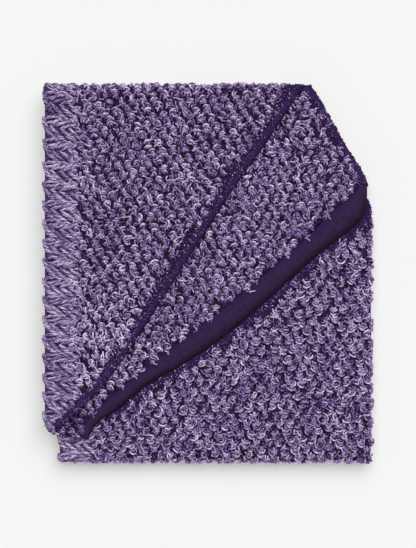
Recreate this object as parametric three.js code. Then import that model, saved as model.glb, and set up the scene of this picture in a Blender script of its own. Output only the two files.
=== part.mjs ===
// A knitted triangular shawl, folded flat: five layers of thick two-tone knit.
// A plaited border runs along its long edge, and a smooth dark band binds its two short edges.
// Millimetres. +X is to the right, +Y away, +Z up, and the underside rests on z = 0.
import * as THREE from "three";

// Driving dimensions
const halfWidth = 182;
const halfLength = 208;
const layerStep = 6.8; // a layer of cloth and the air above it
const gap = 0.3; // between pieces that touch
const cloth = layerStep - gap;
const foldRadius = layerStep - gap / 2; // a fold turns through two layers
const edgeRadius = cloth / 2; // of a rounded edge
const rim = 0.32; // share of the cloth's height that an edge keeps
const borderWidth = 36;
const chevronPitch = 21;
const chevronDepth = 1.8; // of the grooves between the plaited chevrons
const scallop = 2.6; // how far each chevron's knuckle stands out at the edge
const bandSink = 0.9; // how far the bands lie below the stitches beside them
const dipDepth = 1.2; // how far the cloth sinks between its slow waves
const lowerLeft = -163; // the lower layers' left edge at the near end
const lowerLean = 10; // how much further left it lies at the far end
const pointHeight = 97; // y of the shawl's point, where its two bound edges meet

// How many layers lie under each of the layers that show
const layersUnder = { lower: 2, middle: 3, top: 4 };
const base = (name) => layersUnder[name] * layerStep;

// The top layer's bound edge, from the far fold down to the tip: its band's outer and inner line.
const topBandRows = [
  { outX: 106.5, outY: 206.8, inX: 95.5, inY: 207.3 },
  { outX: 77, outY: 161, inX: 69.5, inY: 165.5 },
  { outX: 17, outY: 75, inX: 11, inY: 79 },
  { outX: -56, outY: -39, inX: -62, inY: -35 },
  { outX: -113, outY: -122, inX: -119.5, inY: -117.5 },
  { outX: -163, outY: -172, inX: -170.5, inY: -166 },
];

// The middle layer's lower bound edge, from the shawl's point down to the border.
const middleBandRows = [
  { outX: 175.9, outY: 96.5, inX: 168.3, inY: 96.8 },
  { outX: 175.6, outY: 82, inX: 161, inY: 88 },
  { outX: 171.5, outY: 64, inX: 150, inY: 77.5 },
  { outX: 156, outY: 48, inX: 138, inY: 67 },
  { outX: 124, outY: 23, inX: 110, inY: 40 },
  { outX: 82, outY: -14, inX: 67, inY: 2 },
  { outX: 38, outY: -53, inX: 23, inY: -35 },
  { outX: -4, outY: -85, inX: -18, inY: -66 },
  { outX: -39, outY: -107, inX: -50, inY: -91 },
  { outX: -66, outY: -122, inX: -74, inY: -110 },
  { outX: -99, outY: -149, inX: -108, inY: -138 },
  { outX: -124, outY: -168, inX: -132, inY: -162 },
  { outX: -131, outY: -183, inX: -136, inY: -182 },
];

// Its upper bound edge, from the point up to the far fold.
const shoulderRows = [
  { outX: 175.6, outY: 97.3, inX: 168, inY: 97.3 },
  { outX: 172, outY: 109, inX: 165.5, inY: 105.5 },
  { outX: 155, outY: 136, inX: 149.8, inY: 133 },
  { outX: 134, outY: 173, inX: 129.7, inY: 170.5 },
  { outX: 121, outY: 195, inX: 115.5, inY: 192 },
  { outX: 113.5, outY: 206.8, inX: 99, inY: 206.4 },
];

// The right edge of the layers below, hidden beyond the shoulder.
const lowerRightRows = [
  { x: 170, y: -halfLength },
  { x: 179, y: -203 },
  { x: halfWidth, y: -192 },
  { x: halfWidth, y: -160 },
  { x: halfWidth, y: 40 },
  { x: halfWidth, y: 66 },
  { x: 179, y: 79 },
  { x: 171, y: 92 },
  { x: 150, y: 131 },
  { x: 122, y: 180 },
  { x: 107, y: 204 },
];

// The top layer's tip, past the end of its band, and up to its left edge.
const tipRows = [
  { x: -171, y: -176.5 },
  { x: -178, y: -171 },
  { x: -181, y: -162 },
];

// The hidden layers' outline, with each corner's radius.
const hiddenCorners = [
  { x: lowerLeft, y: -205.5, radius: 7 },
  { x: halfWidth - 1.5, y: -205.5, radius: 13 },
  { x: halfWidth - 1.5, y: 72, radius: 14 },
  { x: 105, y: 205, radius: 12 },
  { x: lowerLeft - lowerLean - 1, y: 205, radius: 8 },
];

const mix = THREE.MathUtils.lerp;

// Where a line that only rises or only falls in y crosses a given y.
function acrossAt(points, y) {
  const rising = points[0].y < points[points.length - 1].y ? points : [...points].reverse();
  let i = 1;
  while (i < rising.length - 1 && rising[i].y < y) i++;
  const share = (y - rising[i - 1].y) / (rising[i].y - rising[i - 1].y);
  return mix(rising[i - 1].x, rising[i].x, THREE.MathUtils.clamp(share, 0, 1));
}

const smoothLine = (knots, count) => new THREE.CatmullRomCurve3(knots, false, "centripetal").getPoints(count);
const lineThrough = (rows, count) => smoothLine(rows.map((r) => new THREE.Vector3(r.x, r.y, 0)), count);

// A band's outer and inner line, and the seam that the stitches keep beside the inner one.
function bandLines(rows, count, seamSide) {
  const outer = smoothLine(rows.map((r) => new THREE.Vector3(r.outX, r.outY, 0)), count);
  const inner = smoothLine(rows.map((r) => new THREE.Vector3(r.inX, r.inY, 0)), count);
  const seam = inner.map((p, i) => {
    const before = inner[Math.max(i - 1, 0)];
    const after = inner[Math.min(i + 1, count)];
    const step = (seamSide * gap) / before.distanceTo(after);
    return new THREE.Vector3(p.x + (after.y - before.y) * step, p.y - (after.x - before.x) * step, 0);
  });
  return { outer, inner, seam };
}

// Places from one end to the other, close together at a rounded end.
function stopsBetween(from, to, count, startRound, endRound) {
  const squeeze = Math.min(1, (to - from) / (4 * edgeRadius));
  const insets = [0, 0.3, 1].map((share) => share * edgeRadius * squeeze);
  const start = startRound ? insets.map((d) => from + d) : [from];
  const end = endRound ? insets.map((d) => to - d).reverse() : [to];
  const between = [];
  for (let i = 1; i < count; i++) between.push(mix(start[start.length - 1], end[0], i / count));
  return [...start, ...between, ...end];
}

// How far a rounded edge has opened at a distance from it: its share of the cloth's height.
function openness(inset, radius) {
  const share = Math.min(inset / radius, 1);
  return Math.max(rim, Math.sqrt(1 - (1 - share) ** 2));
}

// The slow waves of cloth that lies folded, which never rise above the layer's own height.
function dip(x, y) {
  return dipDepth * (0.5 - 0.5 * Math.sin(x / 41 + y / 67) * Math.cos(y / 37 - x / 90));
}

// A closed solid from two grids of points, the upper and the lower side of a sheet.
function closedSheet(top, under) {
  const rows = top.length;
  const columns = top[0].length;
  const faces = [];
  const upper = (j, i) => j * columns + i;
  const lower = (j, i) => rows * columns + upper(j, i);
  const quad = (a, b, c, d) => faces.push(a, b, c, a, c, d);
  const wall = ([j, i], [k, l]) => quad(lower(j, i), lower(k, l), upper(k, l), upper(j, i));
  for (let j = 0; j + 1 < rows; j++) {
    for (let i = 0; i + 1 < columns; i++) {
      quad(upper(j, i), upper(j, i + 1), upper(j + 1, i + 1), upper(j + 1, i));
      quad(lower(j, i), lower(j + 1, i), lower(j + 1, i + 1), lower(j, i + 1));
    }
    wall([j, columns - 1], [j + 1, columns - 1]);
    wall([j + 1, 0], [j, 0]);
  }
  for (let i = 0; i + 1 < columns; i++) {
    wall([0, i], [0, i + 1]);
    wall([rows - 1, i + 1], [rows - 1, i]);
  }
  return new THREE.BufferGeometry().setFromPoints([...top.flat(), ...under.flat()]).setIndex(faces);
}

// One layer of cloth between its left and right edge, row by row in y.
// Each of its four edges is "round", a "seam", or at the near and far end a "roll",
// which is a fold that turns down through the layer below.
function clothLayer({ bottom, stops, edges, left, right, columns, relief }) {
  const turns = [-78, -48, -18, 12, 42, 68].map(THREE.MathUtils.degToRad);
  const hub = bottom + cloth - foldRadius;
  const stay = 0.5; // the flat rows start this far from a roll
  const [first, last] = [stops[0], stops[stops.length - 1]];
  const top = [];
  const under = [];

  function addRow(y, pointsAt) {
    const [x0, x1] = [left(y), right(y)];
    const radius = Math.min(edgeRadius, (x1 - x0) / 4);
    const cells = stopsBetween(x0, x1, columns, edges.left === "round", edges.right === "round").map((x) => {
      const fromLeft = edges.left === "round" ? x - x0 : radius;
      const fromRight = edges.right === "round" ? x1 - x : radius;
      return pointsAt(x, openness(Math.min(fromLeft, fromRight), radius));
    });
    top.push(cells.map((cell) => cell[0]));
    under.push(cells.map((cell) => cell[1]));
  }

  function addRollRow(start, direction, turn) {
    const widest = start + direction * foldRadius * Math.cos(turns[turn]);
    addRow(widest, (x, side) => {
      const thinned = (cloth * (1 - Math.max(rim, side))) / 2; // the roll thins towards a rounded side edge
      const radius = foldRadius - thinned;
      const y = start + direction * radius * Math.cos(turns[turn]);
      const lowest = hub + radius * Math.sin(turns[0]);
      return [
        new THREE.Vector3(x, y, hub + radius * Math.sin(turns[turn])),
        new THREE.Vector3(x, start, mix(lowest, bottom + thinned, turn / (turns.length - 1))),
      ];
    });
  }

  if (edges.near === "roll") for (let k = 0; k < turns.length; k++) addRollRow(first, -1, k);
  for (const stop of stops) {
    const fromNear = edges.near === "round" ? stop - first : edgeRadius;
    const fromFar = edges.far === "round" ? last - stop : edgeRadius;
    const end = openness(Math.min(fromNear, fromFar), edgeRadius);
    const y = THREE.MathUtils.clamp(
      stop,
      edges.near === "roll" ? first + stay : first,
      edges.far === "roll" ? last - stay : last,
    );
    addRow(y, (x, side) => {
      const open = Math.max(rim, end * side);
      const swell = open * (relief(x, y) - dip(x, y));
      return [
        new THREE.Vector3(x, y, bottom + (cloth * (1 + open)) / 2 + swell),
        new THREE.Vector3(x, y, bottom + (cloth * (1 - open)) / 2),
      ];
    });
  }
  if (edges.far === "roll") for (let k = turns.length - 1; k >= 0; k--) addRollRow(last, 1, k);
  return closedSheet(top, under);
}

// A chevron border's outer edge, pushed out by a knuckle between each two grooves.
const knuckle = (y) => scallop * (0.5 - 0.5 * Math.cos((2 * Math.PI * y) / chevronPitch));

// The grooves between its chevrons run in from the edge along a steep upper arm, and on along a flatter one.
function chevrons(edge) {
  return (x, y) => {
    const across = (x - edge(y)) / borderWidth;
    const bend = 0.62;
    const drop = Math.min(across, bend) * 26 + Math.max(0, across - bend) * 12;
    const groove = 0.5 + 0.5 * Math.cos((2 * Math.PI * (y + drop)) / chevronPitch);
    const fade = THREE.MathUtils.smoothstep(across, 0, 0.1) * (1 - THREE.MathUtils.smoothstep(across, 0.8, 1));
    return -fade * groove * chevronDepth;
  };
}

// A bound edge: a band that curves down from the stitches to its outer line.
function edgeBand({ outer, inner }, { bottom, tuck }) {
  const shares = [0, 0.3, 0.56, 0.78, 0.93, 1];
  const height = cloth - bandSink;
  const lip = 0.9; // the outer line's own thickness
  const side = (z) =>
    outer.map((p, j) => shares.map((s) => inner[j].clone().lerp(p, s).setZ(bottom + z(Math.sqrt(1 - s * s)))));
  const top = side((bend) => tuck + lip + (height - tuck - lip) * bend);
  const under = side((bend) => tuck * (1 - bend));
  const turnsLeft = outer[0].y < outer[outer.length - 1].y;
  return turnsLeft ? closedSheet(top, under) : closedSheet(top.reverse(), under.reverse());
}

// The hidden layers: one solid with rounded corners, grooved all round where its layers part.
// Above the lowest layer, its near side stays clear of the fold that comes down there.
function hiddenStack(corners, nearLimit) {
  const outline = new THREE.Path();
  corners.forEach((corner, i) => {
    const here = new THREE.Vector2(corner.x, corner.y);
    const toward = (k) => {
      const other = new THREE.Vector2(corners[k % corners.length].x, corners[k % corners.length].y);
      return here.clone().lerp(other, corner.radius / here.distanceTo(other));
    };
    const start = toward(i + corners.length - 1);
    const end = toward(i + 1);
    if (i === 0) outline.moveTo(start.x, start.y);
    else outline.lineTo(start.x, start.y);
    outline.quadraticCurveTo(here.x, here.y, end.x, end.y);
  });
  outline.closePath();
  const loop = outline.getSpacedPoints(92).slice(0, -1);
  const n = loop.length;
  const profile = [
    { share: 0, inset: 2.8 },
    { share: 0.16, inset: 0.9 },
    { share: 0.5, inset: 0 },
    { share: 0.84, inset: 0.9 },
    { share: 1, inset: 2.8 },
  ];
  const rings = [];
  for (let layer = 0; layer < layersUnder.lower; layer++) {
    for (const { share, inset } of profile) {
      const z = layer * layerStep + share * cloth;
      const ring = loop.map((p, i) => {
        const along = loop[(i + 1) % n].clone().sub(loop[(i + n - 1) % n]).normalize();
        const y = p.y + along.x * inset;
        return new THREE.Vector3(p.x - along.y * inset, layer > 0 ? Math.max(y, nearLimit) : y, z);
      });
      rings.push(ring);
    }
  }
  const faces = [];
  for (let k = 0; k + 1 < rings.length; k++) {
    for (let i = 0; i < n; i++) {
      const [a, b] = [k * n + i, k * n + ((i + 1) % n)];
      faces.push(a, b, b + n, a, b + n, a + n);
    }
  }
  const lid = (rings.length - 1) * n;
  for (const [a, b, c] of THREE.ShapeUtils.triangulateShape(rings[0], [])) faces.push(a, c, b);
  for (const [a, b, c] of THREE.ShapeUtils.triangulateShape(rings[rings.length - 1], [])) {
    faces.push(lid + a, lid + b, lid + c);
  }
  return new THREE.BufferGeometry().setFromPoints(rings.flat()).setIndex(faces);
}

// Lines that neighbouring pieces share
const topBand = bandLines(topBandRows, 26, 1);
const middleBand = bandLines(middleBandRows, 30, 1);
const shoulder = bandLines(shoulderRows, 10, -1);
const lowerRight = lineThrough(lowerRightRows, 60);
const tip = lineThrough(tipRows, 8);
const borderSeam = borderWidth - halfWidth;
const tipSeam = topBand.seam[topBand.seam.length - 1].y;
const topTip = -149; // where the top layer's stitches narrow to nothing
const middleTip = -182; // and the middle layer's
const farFold = halfLength - foldRadius; // where the far fold starts to turn down
const nearFold = foldRadius - halfLength;
const lowerSide = (y) => lowerLeft - (lowerLean * (y + halfLength)) / (2 * halfLength);
const cornerEase = (past) => 0.12 * Math.max(0, past) ** 2;

function topBorderEdge(y) {
  if (y < tipRows[2].y) return acrossAt(tip, y);
  return scallop - halfWidth - knuckle(y) + cornerEase(y - halfLength + 5);
}
const lowerBorderEdge = (y) =>
  lowerSide(y) + scallop - knuckle(y + chevronPitch / 4) + cornerEase(-halfLength + 5 - y);
const middleRight = (y) => (y < pointHeight ? acrossAt(middleBand.seam, y) : acrossAt(shoulder.seam, y));
const middleLeft = (y) => Math.max(-176, mix(-146, -176, (y + 183) / 12));
const flat = () => 0;

// Rows that end on the points of a seam, so that both sides of it keep their gap.
const seamRows = (seam, from, to) => seam.map((p) => p.y).filter((y) => y > from && y < to).sort((a, b) => a - b);

// Rows of a border: five to a chevron where it shows, and few where it is covered.
const chevronRows = (from, to) => stopsBetween(from, to, Math.round(((to - from) * 5) / chevronPitch), false, false);

const colours = { moss: 0x5e4f71, plait: 0x756587, binding: 0x33243f };

const pieces = [
  {
    name: "under_fold",
    colour: colours.moss,
    geometry: hiddenStack(hiddenCorners, nearFold + gap),
  },
  {
    name: "lower_panel",
    colour: colours.moss,
    geometry: clothLayer({
      bottom: base("lower"),
      stops: stopsBetween(nearFold, 203, 17, false, true),
      edges: { near: "roll", far: "round", left: "seam", right: "round" },
      left: (y) => lowerSide(y) + borderWidth + gap,
      right: (y) => Math.min(halfWidth, acrossAt(lowerRight, y)),
      columns: 12,
      relief: flat,
    }),
  },
  {
    name: "lower_border",
    colour: colours.plait,
    geometry: clothLayer({
      bottom: base("lower"),
      stops: [...chevronRows(nearFold, -150), ...stopsBetween(-135, 203, 10, false, true)],
      edges: { near: "roll", far: "round", left: "round", right: "seam" },
      left: lowerBorderEdge,
      right: (y) => lowerSide(y) + borderWidth,
      columns: 5,
      relief: chevrons(lowerBorderEdge),
    }),
  },
  {
    name: "middle_panel",
    colour: colours.moss,
    geometry: clothLayer({
      bottom: base("middle"),
      stops: [
        ...stopsBetween(middleTip, middleTip + 2 * edgeRadius, 1, true, false),
        ...seamRows(middleBand.seam, middleTip + 3 * edgeRadius, pointHeight - gap),
        pointHeight,
        ...seamRows(shoulder.seam, pointHeight + gap, farFold - edgeRadius),
        farFold - gap,
      ],
      edges: { near: "round", far: "seam", left: "round", right: "seam" },
      left: middleLeft,
      right: middleRight,
      columns: 8,
      relief: flat,
    }),
  },
  {
    name: "middle_edge_band",
    colour: colours.binding,
    geometry: edgeBand(middleBand, { bottom: base("middle"), tuck: 0 }),
  },
  {
    name: "shoulder_edge_band",
    colour: colours.binding,
    geometry: edgeBand(shoulder, { bottom: base("middle"), tuck: 2 }),
  },
  {
    name: "top_panel",
    colour: colours.moss,
    geometry: clothLayer({
      bottom: base("top"),
      stops: [topTip, ...seamRows(topBand.seam, topTip + edgeRadius, farFold - edgeRadius), farFold],
      edges: { near: "seam", far: "roll", left: "seam", right: "seam" },
      left: () => borderSeam + gap,
      right: (y) => acrossAt(topBand.seam, y),
      columns: 11,
      relief: flat,
    }),
  },
  {
    name: "top_border",
    colour: colours.plait,
    geometry: clothLayer({
      bottom: base("top"),
      stops: [...stopsBetween(-176, tipSeam, 3, false, false), ...chevronRows(tipSeam, farFold).slice(1)],
      edges: { near: "round", far: "roll", left: "round", right: "seam" },
      left: topBorderEdge,
      right: (y) => Math.min(borderSeam, acrossAt(topBand.seam, y)),
      columns: 5,
      relief: chevrons(topBorderEdge),
    }),
  },
  {
    name: "top_edge_band",
    colour: colours.binding,
    geometry: edgeBand(topBand, { bottom: base("top"), tuck: 0 }),
  },
];

const shawl = new THREE.Group();
for (const { name, colour, geometry } of pieces) {
  const material = new THREE.MeshStandardMaterial({ color: colour, roughness: 0.95, metalness: 0 });
  const mesh = new THREE.Mesh(geometry, material);
  mesh.name = name;
  shawl.add(mesh);
}

export default shawl;
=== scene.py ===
import math

import bpy
import numpy as np
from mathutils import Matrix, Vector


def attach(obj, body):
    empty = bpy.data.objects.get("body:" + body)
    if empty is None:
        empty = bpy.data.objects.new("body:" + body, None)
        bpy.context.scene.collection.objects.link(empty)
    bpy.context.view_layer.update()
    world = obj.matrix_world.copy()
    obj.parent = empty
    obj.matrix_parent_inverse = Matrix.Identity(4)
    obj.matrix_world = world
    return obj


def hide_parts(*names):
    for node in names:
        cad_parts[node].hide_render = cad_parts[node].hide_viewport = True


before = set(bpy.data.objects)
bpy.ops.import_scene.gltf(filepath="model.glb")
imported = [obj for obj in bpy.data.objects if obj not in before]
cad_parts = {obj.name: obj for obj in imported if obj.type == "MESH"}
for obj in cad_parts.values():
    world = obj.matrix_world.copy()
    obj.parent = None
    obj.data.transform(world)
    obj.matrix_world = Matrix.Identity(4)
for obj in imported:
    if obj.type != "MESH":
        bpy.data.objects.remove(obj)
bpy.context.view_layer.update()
mm = 0.001


# The folding: the part's own driving sizes

folding = {
    "halfWidth": 182,
    "halfLength": 208,
    "layerStep": 6.8,
    "gap": 0.3,
    "foldRadius": 6.65,
    "edgeRadius": 3.25,
    "rim": 0.32,
    "borderWidth": 36,
    "chevronPitch": 21,
    "bandSink": 0.9,
    "dipDepth": 1.2,
    "lowerLeft": -163,
    "lowerLean": 10,
    "pointHeight": 97,
}
cloth = folding["layerStep"] - folding["gap"]
farFold = folding["halfLength"] - folding["foldRadius"]
borderSeam = folding["borderWidth"] - folding["halfWidth"]
halfGap = folding["gap"] / 2
rollArc = 2.9 * folding["foldRadius"]  # how far the cloth is followed round a fold

# Bound edges: x and y of the band's outer line, then of its inner line.
topBandRows = [
    (106.5, 206.8, 95.5, 207.3),
    (77, 161, 69.5, 165.5),
    (17, 75, 11, 79),
    (-56, -39, -62, -35),
    (-113, -122, -119.5, -117.5),
    (-163, -172, -170.5, -166),
]
middleBandRows = [
    (175.9, 96.5, 168.3, 96.8),
    (175.6, 82, 161, 88),
    (171.5, 64, 150, 77.5),
    (156, 48, 138, 67),
    (124, 23, 110, 40),
    (82, -14, 67, 2),
    (38, -53, 23, -35),
    (-4, -85, -18, -66),
    (-39, -107, -50, -91),
    (-66, -122, -74, -110),
    (-99, -149, -108, -138),
    (-124, -168, -132, -162),
    (-131, -183, -136, -182),
]
shoulderRows = [
    (175.8, 96.7, 168.1, 96.7),
    (172, 109, 165.5, 105.5),
    (155, 136, 149.8, 133),
    (134, 173, 129.7, 170.5),
    (121, 195, 115.5, 192),
    (113.5, 206.8, 99, 206.4),
]
lowerRightRows = [(170, -208), (179, -203), (182, -192), (182, -160), (182, 40), (182, 66)]
lowerRightRows += [(179, 79), (171, 92), (150, 131), (122, 180), (107, 204)]
tipRows = [(-171, -176.5), (-178, -171), (-180.5, -162)]


def unit(vectors):
    return vectors / np.linalg.norm(vectors, axis=-1, keepdims=True)


# Centripetal Catmull-Rom line through the knots: each span is the cubic between two knots whose end slopes
# weigh the neighbouring chords by the square roots of their lengths.
def smoothLine(knots, count):
    k = np.asarray(knots, float)
    p = np.vstack([2 * k[:1] - k[1:2], k, 2 * k[-1:] - k[-2:-1]])
    at = np.linspace(0, len(k) - 1, count + 1)
    i = np.minimum(at.astype(int), len(k) - 2)
    t = (at - i)[:, None]
    a, b, c, d = p[i], p[i + 1], p[i + 2], p[i + 3]
    ab, bc, cd = (np.sqrt(np.linalg.norm(v - u, axis=1))[:, None] for u, v in ((a, b), (b, c), (c, d)))
    m = ((b - a) / ab - (c - a) / (ab + bc) + (c - b) / bc) * bc
    n = ((c - b) / bc - (d - b) / (bc + cd) + (d - c) / cd) * bc
    return b + m * t + (3 * c - 3 * b - 2 * m - n) * t**2 + (2 * b - 2 * c + m + n) * t**3


# Where a line that only rises or only falls in y crosses each y.
def acrossAt(line, y):
    rising = line if line[0, 1] < line[-1, 1] else line[::-1]
    return np.interp(y, rising[:, 1], rising[:, 0])


def across(line, shift=0.0):
    return lambda y: acrossAt(line, y) + shift


def shifted(side, shift):
    return lambda y: side(y) + shift


def bandLines(rows, count):
    table = np.asarray(rows, float)
    return smoothLine(table[:, :2], count), smoothLine(table[:, 2:], count)


topOuter, topInner = bandLines(topBandRows, 260)
middleOuter, middleInner = bandLines(middleBandRows, 300)
shoulderOuter, shoulderInner = bandLines(shoulderRows, 100)
lowerRight = smoothLine(lowerRightRows, 200)
tipLine = smoothLine(tipRows, 16)


def smooth(low, high, value):
    t = np.clip((value - low) / (high - low), 0, 1)
    return t * t * (3 - 2 * t)


plait = {
    "edge": 1.9,
    "crest": 0.9,
    "core": (0.52, 0.62),
    "ply": 0.7,
    "pale": (0.42, 1.06),
    "step": 1.75,
    "long": (2.8, 4.8),
    "cross": 0.75,
    "firstLeg": -9.5,
    "stretchFrom": 5,
    "stretch": 0.8,
}


# How far a border's edge draws in, past the place where its corner starts.
def cornerEase(past):
    return 0.12 * np.maximum(0, past) ** 2


# The borders' outer edges, without the knuckles that their own yarn makes.
def topBorderEdge(y):
    side = plait["edge"] - folding["halfWidth"] + cornerEase(y - folding["halfLength"] + 5)
    return np.where(y < -162, acrossAt(tipLine, y), side)


def lowerSide(y):
    return folding["lowerLeft"] - folding["lowerLean"] * (y + folding["halfLength"]) / (2 * folding["halfLength"])


def lowerSeam(y):
    return lowerSide(y) + folding["borderWidth"]


def lowerBorderEdge(y):
    return lowerSide(y) - 1.5 + cornerEase(5 - folding["halfLength"] - y)


def middleRight(y):
    return np.where(y < folding["pointHeight"], acrossAt(middleInner, y), acrossAt(shoulderInner, y))


def middleLeft(y):
    return np.maximum(-176, -146 - 30 * (y + 183) / 12)


# The hidden layers' sides: straight runs between their corners, drawn in at both ends.
def hiddenRight(y):
    side = np.interp(y, [-205.5, 58, 84, 205], [180.5, 180.5, 173.5, 105])
    return side - 9 * (1 - smooth(0, 11, 205.5 - np.abs(y))) ** 2


def hiddenLeft(y):
    return lowerSide(y) - 0.5 + 6 * (1 - smooth(0, 8, 205.5 - np.abs(y))) ** 2


outward = {"left": (-1, 0), "right": (1, 0), "near": (0, -1), "far": (0, 1)}
surface = {"sideDrop": 3.6, "waveFade": 22, "foldDrop": 4.65}


# The upper surface of a layer, as a function of x and of s, the distance along the cloth. It is flat less slow
# waves, drops as a quarter ellipse at a rounded edge and goes on down the side, and past a fold line it turns
# about the fold's axis. A height h is then added along the surface's normal.
class Layer:
    def __init__(self, under, left, right, near, far, rounded, roll=()):
        self.under, self.bottom = under, under * folding["layerStep"]
        self.left, self.right, self.near, self.far = left, right, near, far
        self.rounded, self.roll, self.flip = rounded, roll, False
        self.start, self.end = near - rollArc * ("near" in roll), far + rollArc * ("far" in roll)
        self.hub = self.bottom + cloth - folding["foldRadius"]

    # How far inside each side a place lies.
    def insets(self, x, y):
        return {"left": x - self.left(y), "right": self.right(y) - x, "near": y - self.near, "far": self.far - y}

    # How open the edge is at a place, from rim to 1, how far the place lies past the edge, and its outward lean.
    def edge(self, x, y):
        insets, least, lean = self.insets(x, y), np.full(x.shape, 99.0), np.zeros(x.shape + (2,))
        for side in self.rounded:
            least = np.minimum(least, insets[side])
            lean += (1 - np.clip(insets[side] / folding["edgeRadius"], 0, 1))[..., None] * outward[side]
        share = np.clip(least / folding["edgeRadius"], 0, 1)
        opened = np.maximum(folding["rim"], np.sqrt(1 - (1 - share) ** 2))
        return opened, np.clip(-least, 0, surface["sideDrop"]), np.clip(lean, -1, 1)

    # How far in y a place on the cloth lies, its turn about the fold's axis, and the edge there.
    def turned(self, x, s):
        y = np.clip(s, self.near, self.far)
        past = np.where(s > y, "far" in self.roll, "near" in self.roll)
        return y, np.where(past, (s - y) / folding["foldRadius"], 0), self.edge(x, np.where(past, y, s))

    def at(self, x, s, h):
        x, s, h = (np.array(v, float) for v in np.broadcast_arrays(x, s, h))
        y, turn, (opened, beyond, lean) = self.turned(x, s)
        wave = 0.5 - 0.5 * np.sin(x / 41 + y / 67) * np.cos(y / 37 - x / 90)
        for side in self.roll:
            wave = wave * smooth(0, surface["waveFade"], self.insets(x, y)[side])
        top = self.bottom + cloth * (1 + opened) / 2 - folding["dipDepth"] * wave * opened - beyond
        inside = x
        if "left" in self.rounded:
            inside = np.maximum(inside, self.left(y))
        if "right" in self.rounded:
            inside = np.minimum(inside, self.right(y))
        upright, radius = np.sqrt(np.clip(1 - (lean**2).sum(-1), 0.003, 1)), folding["foldRadius"]
        normal = unit(np.stack([lean[..., 0], lean[..., 1] + upright * np.sin(turn), upright * np.cos(turn)], -1))
        height = np.where(turn == 0, top, self.hub + radius * np.cos(turn))
        place = np.stack([inside, y + radius * np.sin(turn), height], -1) + h[..., None] * normal
        if self.flip:
            place[..., 2] = 2 * self.bottom + cloth - place[..., 2]
            normal = normal * (1, 1, -1)
        return place, normal

    # How far a place lies in y, seen from above: past a fold line it goes on to the fold's outermost line.
    def reach(self, s):
        turn = np.maximum(s - self.far, 0) * ("far" in self.roll) / folding["foldRadius"]
        return np.clip(s, self.near, self.far) + folding["foldRadius"] * np.sin(np.minimum(turn, np.pi / 2))

    # The under side below a place on the upper one. Past a fold line it drops in step with the turn.
    def below(self, x, s):
        y, turn, (opened, *_) = self.turned(x, s)
        height = np.where(turn == 0, cloth * (1 - opened) / 2, -surface["foldDrop"] * np.abs(turn))
        return np.stack([x, y, self.bottom + height], -1)


everySide = tuple(outward)
bottomLayer = Layer(0, hiddenLeft, hiddenRight, -205.5, 205, everySide)
secondLayer = Layer(1, hiddenLeft, hiddenRight, -201, 205, everySide)
lowerLayer = Layer(2, lowerBorderEdge, across(lowerRight), -farFold, 203, ("left", "right", "far"), ("near",))
middleLayer = Layer(3, middleLeft, middleRight, -182, farFold, ("left", "near"))
topLayer = Layer(4, topBorderEdge, across(topInner), -177, farFold, ("left",), ("far",))
beds = ["floor", "floorLayerCloth", "secondLayerCloth", "lowerPanelCloth", "middlePanelCloth"]  # under each layer
wideEdge = 4.2  # how far past a rounded edge the stitches may start, so that they cover its side


def newMesh(name, points, quads, uv, values):
    mesh = bpy.data.meshes.new(name)
    mesh.vertices.add(len(points))
    mesh.vertices.foreach_set("co", (points * mm).astype(np.float32).ravel())
    mesh.loops.add(quads.size)
    mesh.loops.foreach_set("vertex_index", quads.astype(np.int32).ravel())
    mesh.polygons.add(len(quads))
    mesh.polygons.foreach_set("loop_start", np.arange(0, quads.size, 4, dtype=np.int32))
    mesh.update(calc_edges=True)
    mesh.polygons.foreach_set("use_smooth", np.ones(len(quads), bool))
    mesh.uv_layers.new(name="UVMap").data.foreach_set("uv", uv.astype(np.float32).ravel())
    for key, value in values.items():
        mesh.attributes.new(key, "FLOAT", "POINT").data.foreach_set("value", value.astype(np.float32).ravel())
    piece = bpy.data.objects.new(name, mesh)
    bpy.context.scene.collection.objects.link(piece)
    return piece


# How far each point of a grid lies along it, by the straight steps between its points.
def runAlong(points, axis):
    return np.insert(np.linalg.norm(np.diff(points, axis=axis), axis=-1).cumsum(axis), 0, 0, axis)


# A closed sheet from two grids of points, its upper and its under side, joined by a wall all round.
# Its UV map holds the column and the row as distances in centimetres.
def closedGrid(name, top, under, values):
    rows, columns = top.shape[:2]
    number = np.arange(rows * columns).reshape(rows, columns)
    low = number + rows * columns
    a, b, c, d = number[:-1, :-1], number[:-1, 1:], number[1:, 1:], number[1:, :-1]
    quads = [np.stack([a, b, c, d], -1), np.stack([a, d, c, b], -1) + rows * columns]
    for wall in (np.s_[:, -1], np.s_[::-1, 0], np.s_[0], np.s_[-1, ::-1]):
        near, far = number[wall], low[wall]
        quads.append(np.stack([far[:-1], far[1:], near[1:], near[:-1]], -1))
    quads = np.concatenate([q.reshape(-1, 4) for q in quads])
    flat = np.stack([runAlong(top, 1), runAlong(top, 0)], -1).reshape(-1, 2) / 10
    points = np.concatenate([top.reshape(-1, 3), under.reshape(-1, 3)])
    values = {key: np.tile(value.ravel(), 2) for key, value in values.items()}
    return newMesh(name, points, quads, np.concatenate([flat, flat])[quads], values)


# A batch of strands: radius and tone may be given for each point, for each strand or for all of them.
def strands(line, up, radius, tone, sides=4, flat=1.0):
    radius, tone = (np.broadcast_to(v, line.shape[:2]) for v in (radius, tone))
    return line.copy(), np.broadcast_to(up, line.shape), radius, tone, sides, flat


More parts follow.
